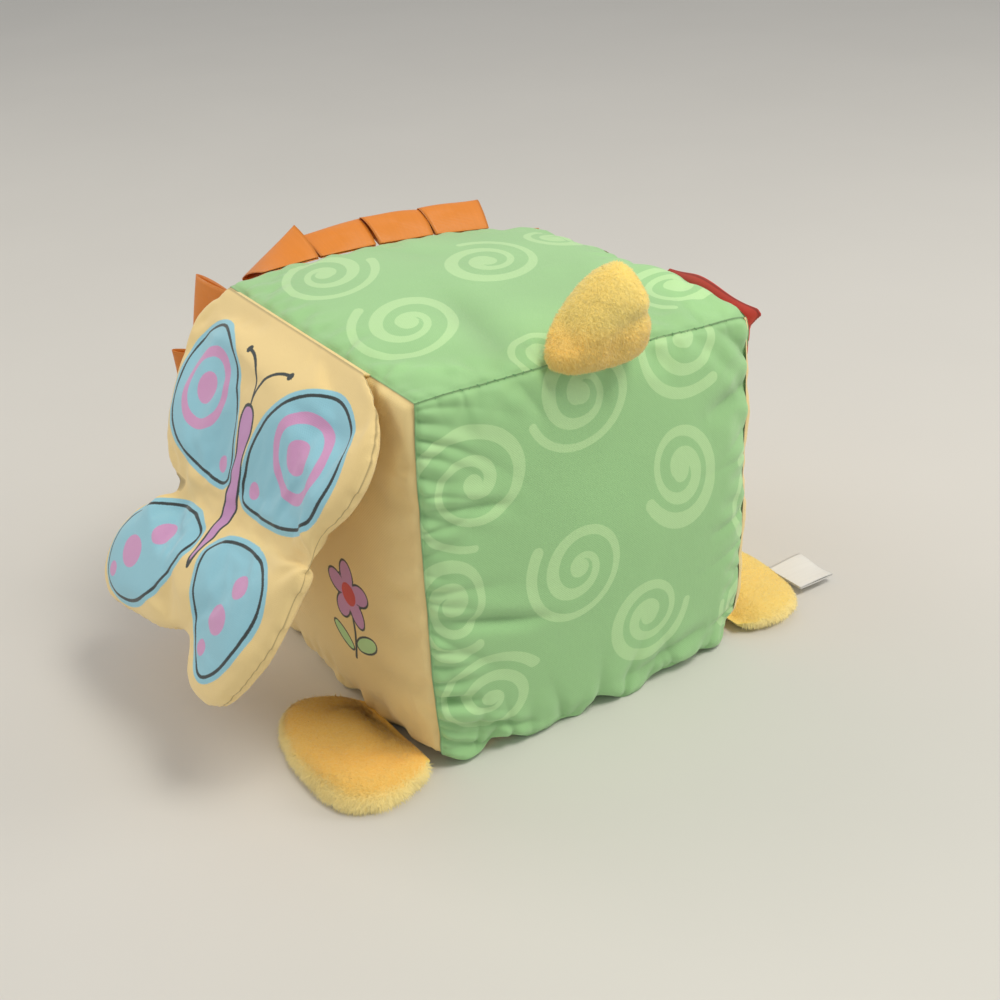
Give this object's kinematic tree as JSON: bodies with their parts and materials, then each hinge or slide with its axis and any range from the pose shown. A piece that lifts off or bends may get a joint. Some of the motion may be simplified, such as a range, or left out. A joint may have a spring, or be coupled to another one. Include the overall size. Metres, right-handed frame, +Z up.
{
  "type": "soft fabric block",
  "caption": "Stuffed cloth cube shaped as a small animal, with ribbon mane loops, a padded butterfly flap, a red flap, a plush tail and plush feet.",
  "frame": {"origin": "centre of the flat patch on the underside, on the floor", "axes": "+Z up from the floor; +X towards the green side with the tail, -X towards the face with the mane; -Y towards the side with the butterfly flap, +Y towards the side with the red flap"},
  "size_m": [0.1826, 0.2775, 0.1817],
  "materials": {
    "green_cloth": "matte woven cloth, printed",
    "cream_cloth": "matte woven cloth, lightly napped",
    "aqua_cloth": "matte woven cloth, printed",
    "red_cloth": "matte woven cloth",
    "yellow_plush": "short pile plush",
    "orange_satin": "satin ribbon",
    "label_satin": "satin, bare",
    "filling": "polyester fibre"
  },
  "bodies": {
    "block": {"stuffing_core": "filling", "top_panel": "green_cloth", "bottom_panel": "cream_cloth", "tail_panel": "green_cloth", "face_panel": "cream_cloth", "butterfly_side_panel": "cream_cloth", "far_side_panel": "cream_cloth", "mane_top_1": "orange_satin", "mane_top_2": "orange_satin", "mane_top_3": "orange_satin", "mane_top_4": "orange_satin", "mane_near_1": "orange_satin", "mane_near_2": "orange_satin", "mane_near_3": "orange_satin", "mane_near_4": "orange_satin", "mane_near_5": "orange_satin", "mane_far_1": "orange_satin", "mane_far_2": "orange_satin", "mane_far_3": "orange_satin", "mane_far_4": "orange_satin", "mane_far_5": "orange_satin"},
    "butterfly_upper_wings": {"butterfly_upper_front": "aqua_cloth", "butterfly_upper_back": "cream_cloth", "butterfly_upper_wadding": "filling"},
    "butterfly_lower_wings": {"butterfly_lower_front": "aqua_cloth", "butterfly_lower_back": "cream_cloth", "butterfly_lower_wadding": "filling"},
    "red_flap": {"red_flap_front": "red_cloth", "red_flap_back": "cream_cloth", "red_flap_wadding": "filling"},
    "tail": {"tail_cover": "yellow_plush", "tail_stuffing": "filling"},
    "near_foot": {"near_foot_upper": "yellow_plush", "near_foot_sole": "yellow_plush", "near_foot_stuffing": "filling"},
    "far_foot": {"far_foot_upper": "yellow_plush", "far_foot_sole": "yellow_plush", "far_foot_stuffing": "filling", "care_label": "label_satin"}
  },
  "joints": [
    {"name": "butterfly_lift", "type": "hinge", "parent": "block", "child": "butterfly_upper_wings", "pos_m": [0, -0.0739, 0.1529], "axis": [-1, 0, 0], "range_deg": [-8, 150], "stiffness_Nm_per_rad": 0.004, "springref_deg": 17.19},
    {"name": "butterfly_fold", "type": "hinge", "parent": "butterfly_upper_wings", "child": "butterfly_lower_wings", "pos_m": [0.00978, -0.10893, 0.09221], "axis": [-0.9926, -0.0608, -0.1053], "range_deg": [-10, 95], "stiffness_Nm_per_rad": 0.003, "springref_deg": 5.73},
    {"name": "red_flap_lift", "type": "hinge", "parent": "block", "child": "red_flap", "pos_m": [0.048, 0.07361, 0.14461], "axis": [1, 0, 0], "range_deg": [-4, 90], "stiffness_Nm_per_rad": 0.001, "springref_deg": 1.15},
    {"name": "tail_bend", "type": "hinge", "parent": "block", "child": "tail", "pos_m": [0.0739, 0, 0.14889], "axis": [0, 1, 0], "range_deg": [-20, 35], "stiffness_Nm_per_rad": 0.01},
    {"name": "near_foot_bend", "type": "hinge", "parent": "block", "child": "near_foot", "pos_m": [0.046, -0.07414, 0.004], "axis": [-1, 0, 0], "range_deg": [0, 35]},
    {"name": "far_foot_bend", "type": "hinge", "parent": "block", "child": "far_foot", "pos_m": [0.046, 0.07414, 0.004], "axis": [1, 0, 0], "range_deg": [0, 35]}
  ]
}
